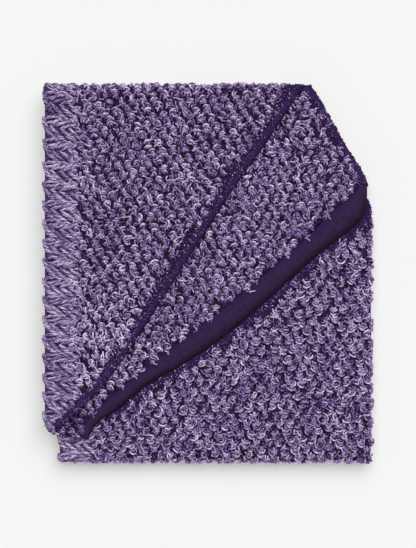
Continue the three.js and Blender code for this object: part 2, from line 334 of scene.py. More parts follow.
# Strands round many centre lines at once: each ring point is the line's point plus the radius times a circle
# in the plane across the line, flattened towards the cloth. UV: round the strand, and along it in centimetres.
def sweep(batch):
    line, up, radius, tone, sides, flat = batch
    line[..., 2] = np.maximum(line[..., 2], radius)
    along = np.gradient(line, axis=1)
    along /= np.linalg.norm(along, axis=-1, keepdims=True) + 1e-9
    side = np.cross(along, up)
    side /= np.linalg.norm(side, axis=-1, keepdims=True) + 1e-9
    lift = np.cross(side, along)
    turn = 2 * np.pi * (np.arange(sides) + 0.5) / sides
    circle = np.cos(turn)[:, None] * side[:, :, None] + flat * np.sin(turn)[:, None] * lift[:, :, None]
    ring = line[:, :, None] + radius[:, :, None, None] * circle
    count, stations = line.shape[:2]
    number = np.arange(count * stations * sides).reshape(count, stations, sides)
    after = np.roll(number, -1, axis=2)
    walls = np.stack([number[:, :-1], number[:, 1:], after[:, 1:], after[:, :-1]], -1)
    u = np.broadcast_to(np.arange(sides) / sides, walls.shape[:3])
    v = np.broadcast_to(runAlong(line, 1)[:, :, None] / 10, number.shape)
    corners = [(u, v[:, :-1]), (u, v[:, 1:]), (u + 1 / sides, v[:, 1:]), (u + 1 / sides, v[:, :-1])]
    wallUv = np.stack([np.stack(corner, -1) for corner in corners], -2)
    fans = [[0, k, k + 1, k + 2] for k in range(1, sides - 2, 2)]
    caps = [number[:, 0][:, fan] for fan in fans] + [number[:, -1][:, fan[::-1]] for fan in fans]
    caps = np.stack(caps, 1).reshape(-1, 4)
    quads = np.concatenate([walls.reshape(-1, 4), caps])
    uv = np.concatenate([wallUv.reshape(-1, 4, 2), np.zeros((len(caps), 4, 2))])
    # Painted highlight and shade: each ring's tone is lighter on the strand's upper side and darker on its under side.
    shade = tone[:, :, None] * (0.86 + 0.14 * np.sin(turn))
    return ring.reshape(-1, 3), quads, uv, shade.reshape(-1)


# A mesh of many strands, kept with the cloth that they belong to.
def yarnPiece(name, batches, entry):
    parts = [sweep(batch) for batch in batches if len(batch[0])]
    start = np.cumsum([0] + [len(p[0]) for p in parts])
    quads = np.concatenate([p[1] + s for p, s in zip(parts, start)])
    points, uv, tone = (np.concatenate([p[k] for p in parts]) for k in (0, 2, 3))
    piece = newMesh(name, points, quads, uv, {"tone": tone})
    piece.data.materials.append(yarnLook)
    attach(piece, "root")
    entry["with"].append(piece)
    print(name, len(quads) * 2, "triangles")


# Materials


# A node's output. Arithmetic on it adds Math nodes, while numbers alone stay numbers.
class Wire:
    def __init__(self, finish, socket):
        self.finish, self.socket = finish, socket

    def maths(self, operation, *values):
        return self.finish.add("ShaderNodeMath", {"operation": operation}, dict(enumerate(values)))

    def __add__(self, other):
        return self.maths("ADD", self, other)

    def __sub__(self, other):
        return self.maths("SUBTRACT", self, other)

    def __rsub__(self, other):
        return self.maths("SUBTRACT", other, self)

    def __mul__(self, other):
        return self.maths("MULTIPLY", self, other)

    __radd__, __rmul__ = __add__, __mul__

    def sine(self):
        return self.maths("SINE", self)

    # 0 below low, 1 above high, and smooth between.
    def step(self, low, high):
        ranges = {1: low, 2: high, 3: 0.0, 4: 1.0}
        return self.finish.add("ShaderNodeMapRange", {"interpolation_type": "SMOOTHSTEP"}, {0: self, **ranges})


class Finish:
    def __init__(self, name, **constants):
        self.material = bpy.data.materials.new(name)
        self.material.use_nodes = True
        self.nodes, self.links = self.material.node_tree.nodes, self.material.node_tree.links
        self.nodes.clear()
        output = self.nodes.new("ShaderNodeOutputMaterial")
        self.shader = self.nodes.new("ShaderNodeBsdfPrincipled")
        self.links.new(self.shader.outputs[0], output.inputs[0])
        for key, value in constants.items():
            self.shader.inputs[key.replace("_", " ")].default_value = value

    def add(self, kind, settings=None, inputs=None, out=0):
        node = self.nodes.new(kind)
        for key, value in (settings or {}).items():
            if key == "stops":
                elements = node.color_ramp.elements
                ends = [elements[0], *(elements.new(place) for place, _ in value[1:-1]), elements[-1]]
                for stop, (place, colour) in zip(sorted(ends, key=lambda e: e.position), value):
                    stop.position, stop.color = place, (*colour, 1)
            else:
                setattr(node, key, value)
        for key, value in (inputs or {}).items():
            if isinstance(value, Wire):
                self.links.new(value.socket, node.inputs[key])
            else:
                node.inputs[key].default_value = value
        return Wire(self, node.outputs[out])

    def noise(self, scale, detail, stretch=None):
        where = self.add("ShaderNodeTexCoord", out="Object")
        if stretch:
            where = self.add("ShaderNodeMapping", None, {"Vector": where, "Scale": stretch})
        return self.add("ShaderNodeTexNoise", None, {"Vector": where, "Scale": scale, "Detail": detail})

    def value(self, name):
        return self.add("ShaderNodeAttribute", {"attribute_name": name}, out="Fac")

    # u and v of the piece's own map, each as a number.
    def map(self):
        parts = self.add("ShaderNodeSeparateXYZ", None, {0: self.add("ShaderNodeTexCoord", out="UV")})
        return parts, Wire(self, parts.socket.node.outputs[1])

    def blend(self, share, first, second):
        first, second = (v if isinstance(v, Wire) else (*v, 1) for v in (first, second))
        return self.add("ShaderNodeMix", {"data_type": "RGBA"}, {0: share, 6: first, 7: second}, out=2)

    def ramp(self, share, stops):
        return self.add("ShaderNodeValToRGB", {"stops": stops}, {0: share})

    def finish(self, colour, height, depth, strength):
        self.links.new(colour.socket, self.shader.inputs["Base Color"])
        bump = self.add("ShaderNodeBump", None, {"Height": height, "Distance": depth, "Strength": strength})
        self.links.new(bump.socket, self.shader.inputs["Normal"])
        return self.material


# Yarn: the tone runs from the dark ply to the pale one, broken by the plies' twist, a diagonal stripe round
# and along the strand, and by slow patches in the dye. The tone attribute also holds painted highlights and painted
# shade.
def yarnFinish(name):
    look = Finish(name, Roughness=0.9, Specular_IOR_Level=0.03)
    u, v = look.map()
    twist = (u * (2 * math.pi) + v * yarn["turns"]).sine()
    patch = look.noise(38, 2) - 0.5
    fibre = look.noise(900, 1) - 0.5
    tone = look.value("tone") + twist * yarn["twist"] + patch * yarn["patch"] + fibre * yarn["fibre"]
    return look.finish(look.ramp(tone, yarn["stops"]), height=twist + fibre * 2, depth=0.0002, strength=0.5)


yarn = {
    "turns": 12,
    "twist": 0.13,
    "patch": 0.22,
    "fibre": 0.2,
    "stops": [
        (0.0, (0.008, 0.004, 0.014)),
        (0.3, (0.062, 0.031, 0.134)),
        (0.65, (0.34, 0.245, 0.485)),
        (1.0, (0.80, 0.68, 0.90)),
    ],
}
yarnLook = yarnFinish("two_tone_yarn")


# Ground between the stitches: dark plies packed in rows, their near-black tones painted shade of the holes
# between the stitches, mixed towards the binding where the cloth is bound.
def groundFinish(name, lighter):
    look = Finish(name, Roughness=0.95, Specular_IOR_Level=0.03)
    rows = look.noise(260, 3, stretch=(1.0, 1.6, 1.0))
    bound = look.value("bound")
    stops = [(0.3, (0.006, 0.003, 0.010)), (0.55, (0.018, 0.010, 0.028)), (0.75, (0.05, 0.03, 0.08))]
    shadedRows = look.ramp(rows, [(place, tuple(lighter * v for v in colour)) for place, colour in stops])
    edge = look.ramp(look.noise(700, 2), [(0.3, (0.010, 0.005, 0.022)), (0.7, (0.052, 0.022, 0.112))])
    return look.finish(look.blend(bound, shadedRows, edge), height=rows, depth=0.0012, strength=0.7)


knitGroundShadeLook = groundFinish("knit_ground_painted_shade", 1.3)
plaitGroundShadeLook = groundFinish("plait_ground_painted_shade", 4)


# Binding: close fine ribs along the band, a mottled nap over them, and painted shade that fades it to black
# towards its outer line, where the band rolls down away from the light into the shadow at its foot.
def bindingFinish(name, kind):
    look = Finish(name, Roughness=0.9, Specular_IOR_Level=0.06, Sheen_Weight=0.04, Sheen_Roughness=0.5)
    ribs = (look.map()[1] * 34 + look.noise(120, 2) * 6).sine()
    nap = look.noise(700, 2) * 0.6 + look.noise(190, 2) * 0.4
    shade = look.ramp(look.value("bow") * 0.9 + nap * 0.3 - 0.12, binding[kind])
    dark = (nap - 0.5) * binding["mottle"] + (ribs * 0.5 + 0.5) * 0.2
    streak = look.blend(dark.step(0.0, 1.0), shade, (0.008, 0.004, 0.015))
    return look.finish(streak, height=ribs * 0.4 + nap * 2, depth=0.0007, strength=0.7)


# Each ramp runs across the band from its inner line to its outer one; its darkening towards the outer line is painted
# shade.
binding = {
    "wide": [
        (0.0, (0.031, 0.013, 0.070)),
        (0.35, (0.043, 0.021, 0.078)),
        (0.65, (0.036, 0.020, 0.057)),
        (0.88, (0.017, 0.009, 0.027)),
        (1.0, (0.007, 0.004, 0.011)),
    ],
    "narrow": [(0.0, (0.044, 0.018, 0.104)), (0.6, (0.040, 0.018, 0.088)), (1.0, (0.014, 0.007, 0.026))],
    "mottle": 2.4,
}
bindingLook = bindingFinish("smooth_binding", "wide")
dottedLook = bindingFinish("dotted_binding", "narrow")
print("materials ready")


# Cloth shells


# Stops between two ends, close together at a rounded end. The ends may be one number or a row of them.
def stationsBetween(low, high, count, roundLow, roundHigh):
    low, high = (np.atleast_1d(v)[:, None] for v in (low, high))
    room = np.minimum(1, (high - low) / 14) * folding["edgeRadius"]
    inset = np.array([0, 0.1, 0.3, 0.6, 1])
    first = low + inset * room if roundLow else low
    last = high - inset[::-1] * room if roundHigh else high
    share = np.linspace(0, 1, count + 1)[1:-1]
    return np.concatenate([first, first[:, -1:] + (last[:, :1] - first[:, -1:]) * share, last], 1)


sheets = []


# The cloth is kept with its flat size, its area and the name of what it rests on; what lies on it is added as it is
# made.
def keepCloth(piece, node, under, flat, area):
    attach(piece, "root")
    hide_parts(node)
    sheets.append({"piece": piece, "flat": flat, "area": area, "rests": [beds[under]], "with": []})
    print(piece.name, len(piece.data.polygons) * 2, "triangles", round(area / 1e6, 4), "square metres")
    return sheets[-1]


ground = {"drop": 1.8, "boundDrop": 0.9, "least": 0.4}


# A layer's cloth between two lines in x: its upper side lies a little under the stitches' crests, less so where
# it is bound, and its under side is the layer's own. Its edges are rounded as the layer's are, except at a seam.
def clothShell(name, node, layer, low, high, grid, seam="", start=None, bound=None, slot="moss_knit", lift=0.0):
    roundX = [side in layer.rounded and side != seam for side in ("left", "right")]
    roundS = [side in layer.rounded for side in ("near", "far")]
    s = stationsBetween(layer.start if start is None else start, layer.end, grid[1], *roundS)[0]
    held = layer.reach(s)
    x = stationsBetween(low(held), high(held), grid[0], *roundX)
    s = np.broadcast_to(s[:, None], x.shape)
    y = np.clip(s, layer.near, layer.far)
    edgeBlend = bound(x, y) if bound else np.zeros(x.shape)
    top, _ = layer.at(x, s, edgeBlend * (ground["drop"] - ground["boundDrop"]) - ground["drop"])
    under = layer.below(x, s) + (0, 0, lift)
    under[s == y, :2] = top[s == y, :2]
    top[..., 2] = np.maximum(top[..., 2], under[..., 2] + ground["least"])
    piece = closedGrid(name, top, under, {"bound": edgeBlend})
    piece.data.materials.append(plaitGroundShadeLook if slot == "plaited_knit" else knitGroundShadeLook)
    wide, long = x[:, -1] - x[:, 0], s[:, 0]
    area = float(((wide[1:] + wide[:-1]) / 2 * np.diff(long)).sum())
    return keepCloth(piece, node, layer.under, (float(wide.max()), float(long[-1] - long[0])), area)


# Stitches


# Centres of a staggered lattice of bumps over part of a layer, leaned, tilted, waved and unsettled a little.
def lattice(knit, layer, low, high, start, end, rng):
    i, j = np.meshgrid(np.arange(-45, 46), np.arange(-70, 71))
    wide, tall = knit["pitch"]
    i = i + 0.5 * (j % 2)
    x, s = i * wide + knit["lean"] * j * tall, j * tall + knit["tilt"] * i * wide
    x, s = x + 1.7 * np.sin(s / 29 + x / 83), s + 1.5 * np.sin(x / 37 - s / 71)
    heading, long, phase = rng.uniform(0, np.pi, 12), rng.uniform(24, 55, 12), rng.uniform(0, 2 * np.pi, 12)
    along = x[..., None] * np.cos(heading) + s[..., None] * np.sin(heading)
    wave = np.sin(along * 2 * np.pi / long + phase) * knit["drift"]
    x, s = x + wave[..., :6].sum(-1), s + wave[..., 6:].sum(-1)
    x, s = x + rng.normal(0, knit["stray"], x.shape), s + rng.normal(0, knit["stray"], x.shape)
    held = layer.reach(s)
    keep = (s > start) & (s < end) & (x > low(held)) & (x < high(held))
    return x[keep], s[keep]


# The yarn of many stitches at once. Each has bumps stacked across the rows: a soft half-dark body with marled
# yarns side by side over it, each an arc with straight ends, high in the middle and diving at both ends. The outer
# yarn is painted paler as a highlight, and the yarns darken towards their diving ends as painted shade. Shorter
# yarns curl over the bumps like a C or a V, and legs, dark with painted shade, stand in the hole beside.
def stitchYarn(layer, x, s, knit, rng, dim):
    n = len(x)
    column = lambda v: np.broadcast_to(v, (n,))[:, None, None]
    glow = column(dim)
    batches = []

    def draw(low, high, count=1):
        return rng.uniform(low, high, (n, count, 1))

    def stray(width, count=1):
        return rng.normal(0, width, (n, count, 1))

    def add(a, b, height, thick, tone, sides=4, flat=1.0):
        a, b, height, thick, tone = np.broadcast_arrays(a, b, height, thick, tone)
        line, up = layer.at(column(x) + a, column(s) + b, height)
        line, up, thick, tone = (v.reshape(-1, *v.shape[2:]) for v in (line, up, thick, tone))
        batches.append(strands(line, up, thick, tone, sides, flat))

    # A yarn that follows its heading, set about a middle place.
    def wind(heading, long, east, north):
        stride = long / (heading.shape[-1] - 1)
        a, b = stride * np.cumsum(np.cos(heading), -1), stride * np.cumsum(np.sin(heading), -1)
        return a - a.mean(-1, keepdims=True) + east, b - b.mean(-1, keepdims=True) + north

    dye = np.where(rng.random(n) < knit["dark"], rng.uniform(0.6, 0.8, n), rng.uniform(0.88, 1.05, n))
    dye = glow * column(dye)
    past = column(np.abs(s - np.clip(s, layer.near, layer.far)))
    crest = knit["crest"] + knit["foldLift"] * smooth(0, 8, past) + stray(0.35)
    body, yarns = knit["body"], knit["yarns"]
    for slip, rise in knit["stack"]:
        odd = rng.random((n, 1, 1)) < knit["odd"]
        turn = knit["turn"] + np.where(odd, draw(-np.pi, np.pi), stray(knit["spread"]))
        middle, size = draw(*knit["arc"]), 1 + stray(0.07)
        east, north = slip + stray(0.35), rise + stray(0.35)

        def onArch(away, run):
            angle = np.clip(run / away, -knit["bow"], knit["bow"])
            rest = run - away * angle
            a = size * (away * np.sin(angle) + rest * np.cos(angle))
            b = size * (away * np.cos(angle) - rest * np.sin(angle) - knit["drop"] * middle)
            return east + a * np.cos(turn) - b * np.sin(turn), north + a * np.sin(turn) + b * np.cos(turn)

        t = np.linspace(-1, 1, 4)
        low = crest - body - 0.6 - knit["dive"] * t**2
        tone = dye * glow**5 * (knit["core"] + stray(0.05))
        add(*onArch(middle, t * 3.1), low, body * np.sqrt(1.05 - t**2 * 0.7), tone, 6, 0.8)
        t = np.linspace(-1, 1, 6)
        place = (np.arange(yarns) - (yarns - 1) / 2)[:, None]
        away = np.maximum(0.9, middle + place * knit["apart"] + stray(0.2, yarns))
        run = draw(*knit["half"], yarns) * (1 + 0.2 * place) * t + stray(0.5, yarns)
        high = crest - knit["yarn"] - 0.35 * place**2 - knit["dive"] * np.abs(t) ** 2.6 + stray(0.15, yarns)
        # Painted highlight and shade: the outer yarn is paler as if facing the light, and each yarn darkens towards its
        # diving ends.
        tone = dye * draw(*knit["pale"], yarns) * (1 + knit["outerHighlight"] * place) * (1 - 0.25 * np.abs(t) ** 3)
        add(*onArch(away, run), high, knit["yarn"] * draw(*knit["plump"], yarns) * (1 - 0.35 * t**4), tone)

    curls = knit["curls"]
    t = np.linspace(-1, 1, 6)
    heading = draw(-np.pi, np.pi, curls) + rng.choice([-1.0, 1.0], (n, curls, 1)) * draw(*knit["curl"], curls) * t
    a, b = wind(heading, draw(*knit["curlLong"], curls), stray(2.2, curls), stray(2.8, curls))
    # Painted shade: each curl darkens towards its ends, where they dive into the knit.
    tone = glow * draw(*knit["pale"], curls) * (1 - 0.2 * t**4)
    height = crest + (0.1 + stray(0.3, curls)) - 1.2 * t**4
    add(a, b, height, knit["ply"] * (1 - 0.3 * t**4), tone)

    t = np.linspace(-1, 1, 3)
    legs, (wide, tall) = knit["legs"], knit["pitch"]
    heading, long = np.pi / 2 + stray(0.5, legs) + 0 * t, draw(0.45, 0.85, legs) * tall
    a, b = wind(heading, long, knit["legSide"] * wide / 2 + stray(1.6, legs), stray(2.2, legs))
    # Painted shade: the legs get a low tone, darkened further where the stitches are dimmed, as the shade of the holes
    # they stand in.
    add(a, b, knit["crest"] - 2.3 - 0.7 * t**2, knit["ply"], glow**5 * draw(*knit["legShadeTone"], legs))
    return batches


# Stitches over a part of a layer: dim is their tone's share, one number or a function of the place.
def stitchesOn(name, entry, layer, knit, low, high, start, end, dim=1.0, slot="moss_knit", keep=None):
    rng = np.random.default_rng(knit["seed"])
    x, s = lattice(knit, layer, low, high, start, end, rng)
    y = np.clip(s, layer.near, layer.far)
    if keep:
        chosen = keep(x, y)
        x, s, y = x[chosen], s[chosen], y[chosen]
    glow = dim(x, y) if callable(dim) else dim
    yarnPiece(name, stitchYarn(layer, x, s, knit, rng, glow), entry)


moss = {
    "pitch": (11.7, 10.0),
    "lean": 0.0,
    "tilt": 0.15,
    "stray": 0.6,
    "drift": 0.2,
    "turn": 0.0,
    "stack": [(-0.3, 2.6), (0.3, -2.6)],
    "spread": 0.46,
    "odd": 0.12,
    "arc": (2.4, 3.5),
    "half": (4.0, 5.6),
    "bow": 1.5,
    "drop": 0.75,
    "crest": 0.5,
    "body": 2.25,
    "core": 0.29,
    "dive": 2.1,
    "dark": 0.17,
    "foldLift": -0.3,
    "pale": (0.49, 0.89),
    "outerHighlight": 0.34,
    "yarns": 2,
    "apart": 2.4,
    "yarn": 1.16,
    "plump": (0.75, 1.25),
    "curls": 3,
    "ply": 1.0,
    "curl": (0.1, 1.3),
    "curlLong": (4, 7.5),
    "legs": 2,
    "legSide": 1,
    "legShadeTone": (0.2, 0.6),
    "seed": 11,
}


# The legs of one chevron, as knots across from the border's edge and up from the place where its first leg
# comes round that edge. Each is a thick, soft yarn, with its half width and how far it stands out at its start.
nearSteep = [(-1.7, 5), (0.2, 2.5), (2.2, -1.5), (5, -7.3), (9.5, -12), (16.5, -16.8), (23.5, -19.8)]
chevron = [
    {"wide": 3.4, "lobe": 1.0, "knots": nearSteep},  # near steep
    {"wide": 3.2, "knots": [(8, -3.2), (13, -8.8), (18.5, -13.8), (25, -18), (30.5, -20.6)]},  # middle steep
    {"wide": 3.0, "knots": [(18.5, -5.3), (24.5, -10.6), (31, -15.4), (37.5, -19.3)]},  # far steep
    {"wide": 2.6, "knots": [(28, -4.8), (33, -9.2), (38.5, -13.5), (41, -17)]},  # last steep
    {"wide": 2.2, "knots": [(2.2, -0.6), (9.5, -0.9), (15, 0.6), (20.5, 3)]},  # near arm
    {"wide": 2.1, "knots": [(2.0, 3.1), (7, 4.2), (11.5, 4.3), (15.5, 3.9)]},  # upper arm
    {"wide": 2.3, "knots": [(8.5, -3.7), (16.5, -2.5), (24.5, -1.1), (32, -0.5), (38, 0.2)]},  # far arm
    {"wide": 2.1, "knots": [(19.5, -5.5), (27.5, -3.8), (36, -2.2)]},  # inner arm
]


# One leg at many chevrons: a soft half-dark core, wide in the middle and pointed at both ends, and the pale
# plies that wind over it, each crossing from one side of the leg to the other as it runs along.
def legYarn(layer, edge, limit, starts, leg, rng):
    n = len(starts)
    stretch = (np.gradient(starts) / folding["chevronPitch"])[:, None, None] if n > 1 else 1
    path, wide, lobe, batches = smoothLine(leg["knots"], 60), leg["wide"], leg.get("lobe", 0), []
    run = runAlong(path, 0)
    slope = unit(np.gradient(path, axis=0))
    sway = rng.normal(0, 0.35, (n, 2, 1, 1))
    belly = lambda along: np.sin(np.pi * np.clip(along / run[-1], 0.04, 0.96)) ** 0.4

    def lay(along, aside, height, thick, tone, sides=4, flat=1.0):
        along, aside, height, thick, tone = np.broadcast_arrays(along, aside, height, thick, tone)
        (px, py), (tx, ty) = ([np.interp(along, run, table[:, k]) for k in (0, 1)] for table in (path, slope))
        x = edge(starts)[:, None, None] + px - ty * aside + sway[:, 0]
        s = starts[:, None, None] + py * stretch + tx * aside + sway[:, 1]
        share = 2 * along / run[-1] - 1
        buried = 1.6 * share**4 * ((share > 0) | (lobe == 0))
        room = limit(s) - x
        height = height + lobe * np.exp(-(((along - 5) / 5) ** 2)) - buried
        place, up = layer.at(np.minimum(x, limit(s)), s, height)
        kept = room.mean(-1) > 0 if sides == 4 else room.max(-1) > 2
        place, up, thick, tone = (v[kept] for v in (place, up, thick, tone))
        batches.append(strands(place, up, thick, tone, sides, flat))

    dye = np.where(rng.random((n, 1, 1)) < 0.2, 0.8, 1.0)
    along = np.linspace(0, run[-1], 4 + int(run[-1] / 4))[None, None] + np.zeros((n, 1, 1))
    tone = dye * rng.uniform(*plait["core"], (n, 1, 1))
    lay(along, 0, plait["crest"] - wide, 0.95 * wide * belly(along), tone, 6, 0.7)
    count = int(run[-1] / plait["step"])
    shape, t = (n, count, 1), np.linspace(-1, 1, 4)
    middle = (np.arange(count)[:, None] + rng.uniform(0.25, 0.75, shape)) * run[-1] / count
    along = np.clip(middle + rng.uniform(*plait["long"], shape) * t, 0, run[-1])
    share = np.clip(rng.normal(0, 0.2, shape) + rng.normal(plait["cross"], 0.25, shape) * t, -1, 1)
    # Painted shade: each ply darkens towards its ends, where it tucks under the leg.
    tone = dye * rng.uniform(*plait["pale"], shape) * (1 - 0.2 * t**4)
    thick = plait["ply"] * rng.uniform(0.8, 1.15, shape) * (1 - 0.4 * t**4)
    height = plait["crest"] - 0.5 * wide * (1 - belly(along) * np.sqrt(1.05 - share**2))
    lay(along, wide * belly(along) * share, height, thick, tone)
    return batches


# Where the chevrons start: one pitch apart, and wider apart towards the far fold.
def chevronStarts(first, last):
    k = np.arange(first, last + 1)
    wider = plait["stretch"] * np.maximum(0, k - plait["stretchFrom"]) ** 2
    return k * folding["chevronPitch"] + plait["firstLeg"] + wider


# Bands


# A band's surface at shares of its run and of its width: it curves down from the stitches to its outer line as
# a quarter ellipse, with a slight waver along it.
def bandTop(band, run, share):
    run, share = np.broadcast_arrays(run, share)
    at = np.clip(run, 0, 1) * (len(band["outer"]) - 1)
    knot = np.arange(len(band["outer"]))
    outer, inner = (np.stack([np.interp(at, knot, band[v][:, k]) for k in (0, 1)], -1) for v in ("outer", "inner"))
    line = inner + (outer - inner) * share[..., None]
    lip = 0.9
    foot = band["under"] * folding["layerStep"] + band["tuck"] + lip
    height = cloth - folding["bandSink"] - band["tuck"] - lip
    waver = 0.22 * np.sin(line[..., 0] / 5.1 + line[..., 1] / 7.3) * np.sin(np.pi * np.clip(share, 0, 1))
    top = foot + height * np.sqrt(np.clip(1 - share**2, 0, 1)) + waver
    return np.concatenate([line, top[..., None]], -1)


# A band's cloth: its upper side, and an under side that curls up towards the outer line where the band is tucked.
def bandShell(name, band, node):
    share = np.sin(np.linspace(0, np.pi / 2, 13)) ** 0.9
    top = bandTop(band, np.linspace(0, 1, band["count"])[:, None], share)
    low = top.copy()
    low[..., 2] = band["under"] * folding["layerStep"] + band["tuck"] * (1 - np.sqrt(1 - share**2))
    if top[0, 0, 1] > top[-1, 0, 1]:
        top, low = top[::-1], low[::-1]
    piece = closedGrid(name, top, low, {"bow": np.broadcast_to(share, top.shape[:2])})
    piece.data.materials.append(band["look"])
    girth = runAlong(top, 1)[:, -1]
    run = np.linalg.norm(np.diff(top[..., :2].mean(1), axis=0), axis=1)
    area = float((run * (girth[1:] + girth[:-1]) / 2).sum())
    return keepCloth(piece, node, band["under"], (float(girth.max()), float(run.sum())), area)


# Short bits of yarn scattered over a band: most are as dark as the binding, and a few are pale.
def bandNubs(band, knit, rng):
    n = knit["count"]
    run, share = rng.uniform(*knit["run"], n), rng.uniform(*knit["share"], n)
    middle = bandTop(band, run, share)
    east = unit(bandTop(band, run + 0.002, share) - bandTop(band, run - 0.002, share))
    north = unit(bandTop(band, run, share + 0.02) - middle)
    up = np.cross(east, north)
    up *= np.sign(up[:, 2:])
    heading, long = rng.uniform(0, np.pi, (n, 1, 1)), rng.uniform(*knit["long"], (n, 1, 1))
    t = np.linspace(-1, 1, 4)[:, None]
    line = middle[:, None] + long * t * (np.cos(heading) * east[:, None] + np.sin(heading) * north[:, None])
    line = line + (knit["rise"] - 0.6 * t**2) * up[:, None]
    t = t[:, 0]
    pale = rng.random((n, 1)) < knit["pale"]
    tone = np.where(pale, rng.uniform(*knit["tone"], (n, 1)), rng.uniform(*knit["dull"], (n, 1)))
    thick = knit["thick"] * rng.uniform(0.8, 1.2, (n, 1)) * np.sqrt(1.1 - 0.8 * t**2)
    return strands(line, up[:, None], thick, tone)


# Small nubs of yarn, a few of them pale, that show through the bound cloth in loose rows beside a line.
def nubs(line, layer, knit, rng):
    run = runAlong(line, 0)
    onLine = lambda at: np.stack([np.interp(at, run, line[:, k]) for k in (0, 1)], -1)
    batches = []
    for away in knit["rows"]:
        count = int(run[-1] / knit["step"])
        at = (np.arange(count) + rng.uniform(0.1, 0.9, count)) * run[-1] / count
        at = at[rng.random(count) < knit["share"]]
        tangent = unit(onLine(at + 2) - onLine(at - 2))
        aside = away + rng.normal(0, 0.9, (len(at), 1))
        x, y = (onLine(at) + aside * tangent[:, ::-1] * (1, -1)).T[..., None]
        heading = rng.uniform(0, np.pi, (len(at), 1))
        t = np.linspace(-1, 1, 5)
        bit = rng.uniform(*knit["long"], (len(at), 1)) * t
        place, up = layer.at(x + bit * np.cos(heading), y + bit * np.sin(heading), knit["height"] - 0.9 * t**2)
        pale = rng.random((len(at), 1)) < knit["pale"]
        tone = np.where(pale, rng.uniform(*knit["paleTone"], pale.shape), rng.uniform(*knit["tone"], pale.shape))
        batches.append(strands(place, up, knit["thick"] * np.sqrt(1.1 - t**2 * 0.8), tone))
    return batches


# Distance from each place to a line, by its own points.
def distanceTo(line, x, y):
    points = line[:: max(1, len(line) // 90)]
    flat = np.stack([np.ravel(x), np.ravel(y)], -1)
    away = np.full(len(flat), 1e3)
    for k in range(0, len(points), 6):
        away = np.minimum(away, np.linalg.norm(flat[:, None] - points[None, k : k + 6], axis=-1).min(1))
    return away.reshape(np.shape(x))


# Hidden layers: their rims show from the sides, and the lowest one's knit shows from below.
floorEntry = clothShell("floorLayerCloth", "under_fold", bottomLayer, hiddenLeft, hiddenRight, (40, 50), lift=2.0)
secondEntry = clothShell("secondLayerCloth", "under_fold", secondLayer, hiddenLeft, hiddenRight, (40, 50))
rimKnit = dict(moss, pitch=(10.8, 9.2), crest=-0.4, curls=0, legs=1, seed=21, rim=5.0)


# Smaller stitches at a hidden layer's rim alone.
def rimStitches(name, entry, layer):
    nearRim = lambda x, y: np.minimum.reduce(list(layer.insets(x, y).values())) < rimKnit["rim"]
    left, right = shifted(layer.left, -wideEdge), shifted(layer.right, wideEdge)
    near, far = layer.near - wideEdge, layer.far + wideEdge
    stitchesOn(name, entry, layer, rimKnit, left, right, near, far, keep=nearRim)


rimStitches("floorLayerRim", floorEntry, bottomLayer)
rimStitches("secondLayerRim", secondEntry, secondLayer)
underKnit = dict(moss, pitch=(13.4, 11.8), stack=[(0.0, 0.0)], arc=(2.9, 4.0), half=(4.2, 6.4), crest=0.3, seed=22)
underKnit.update(apart=3, yarn=1.25, curls=0, legs=1)
underLayer = Layer(0, hiddenLeft, hiddenRight, -205.5, 205, everySide)
underLayer.flip = True
left, right = shifted(hiddenLeft, 2), shifted(hiddenRight, -2)
stitchesOn("floorLayerUnderside", floorEntry, underLayer, underKnit, left, right, -203, 203)

# Lower layer: its stitches start a little way from the band above, and further away in the valley at the right.
valley = lambda x: 1 + 1.8 * smooth(140, 168, x)
boundLower = lambda x, y: 1 - smooth(5.5 + valley(x), 9 + valley(x), distanceTo(middleOuter, x, y))
left, right = shifted(lowerSeam, halfGap), (lambda y: acrossAt(lowerRight, y) + 1.9 * smooth(54, 66, y))
lowerEntry = clothShell("lowerPanelCloth", "lower_panel", lowerLayer, left, right, (64, 96), "left", bound=boundLower)
lowerKnit = dict(moss, pitch=(12.2, 10.1), tilt=0.075, lean=0.075, stray=0.7, turn=math.pi, foldLift=1.3, seed=31)
lowerKnit.update(stack=[(-0.4, -2.5), (0.4, 2.5)], arc=(2.9, 4.2), half=(4.4, 6.4), apart=2.6)


# Only the places that nothing covers: right of the band or of the shoulder, and round the near and far edges.
def lowerShows(x, y):
    covered = np.where(y > folding["pointHeight"], acrossAt(lowerRight, y) - 8, acrossAt(middleOuter, y) - 2)
    shows = (x > covered) | (y < -181)
    return shows & ((distanceTo(middleOuter, x, y) > 7 + valley(x)) | (y < -150)) | (y > 199)


left, right = shifted(lowerSeam, -3), across(lowerRight, wideEdge)
near, far = lowerLayer.start, lowerLayer.end + wideEdge
stitchesOn("lowerPanelStitches", lowerEntry, lowerLayer, lowerKnit, left, right, near, far, 1.02, keep=lowerShows)
sides, plaited = (lowerBorderEdge, shifted(lowerSeam, -halfGap)), "plaited_knit"
lowerBorderEntry = clothShell("lowerBorderCloth", "lower_border", lowerLayer, *sides, (14, 120), "right", slot=plaited)


# Middle layer: its cloth is bound at both bands, and its tones darken towards the tip and at the shoulder.
def boundMiddle(x, y):
    atShoulder = 1 - smooth(3.0, 6.0, distanceTo(shoulderInner, x, y))
    return np.maximum(atShoulder, 1 - smooth(0.5, 2.5, distanceTo(middleInner, x, y)))


sides = middleLeft, shifted(middleRight, -0.2)
middleEntry = clothShell("middlePanelCloth", "middle_panel", middleLayer, *sides, (60, 90), bound=boundMiddle)
middleKnit = dict(moss, pitch=(10.9, 10.1), tilt=0.01, stack=[(0.1, 2.6), (-0.1, -2.6)], legSide=-1, seed=41)


# Below the top layer's edge, past the near and left edges, and clear of the shoulder's band.
def middleShows(x, y):
    uncovered = (x > acrossAt(topOuter, y) - 5) | (y < -170) | (x < -170)
    return uncovered & ((distanceTo(shoulderInner, x, y) > 0.6 + 2.2 * smooth(178, 198, y)) | (y < 96))


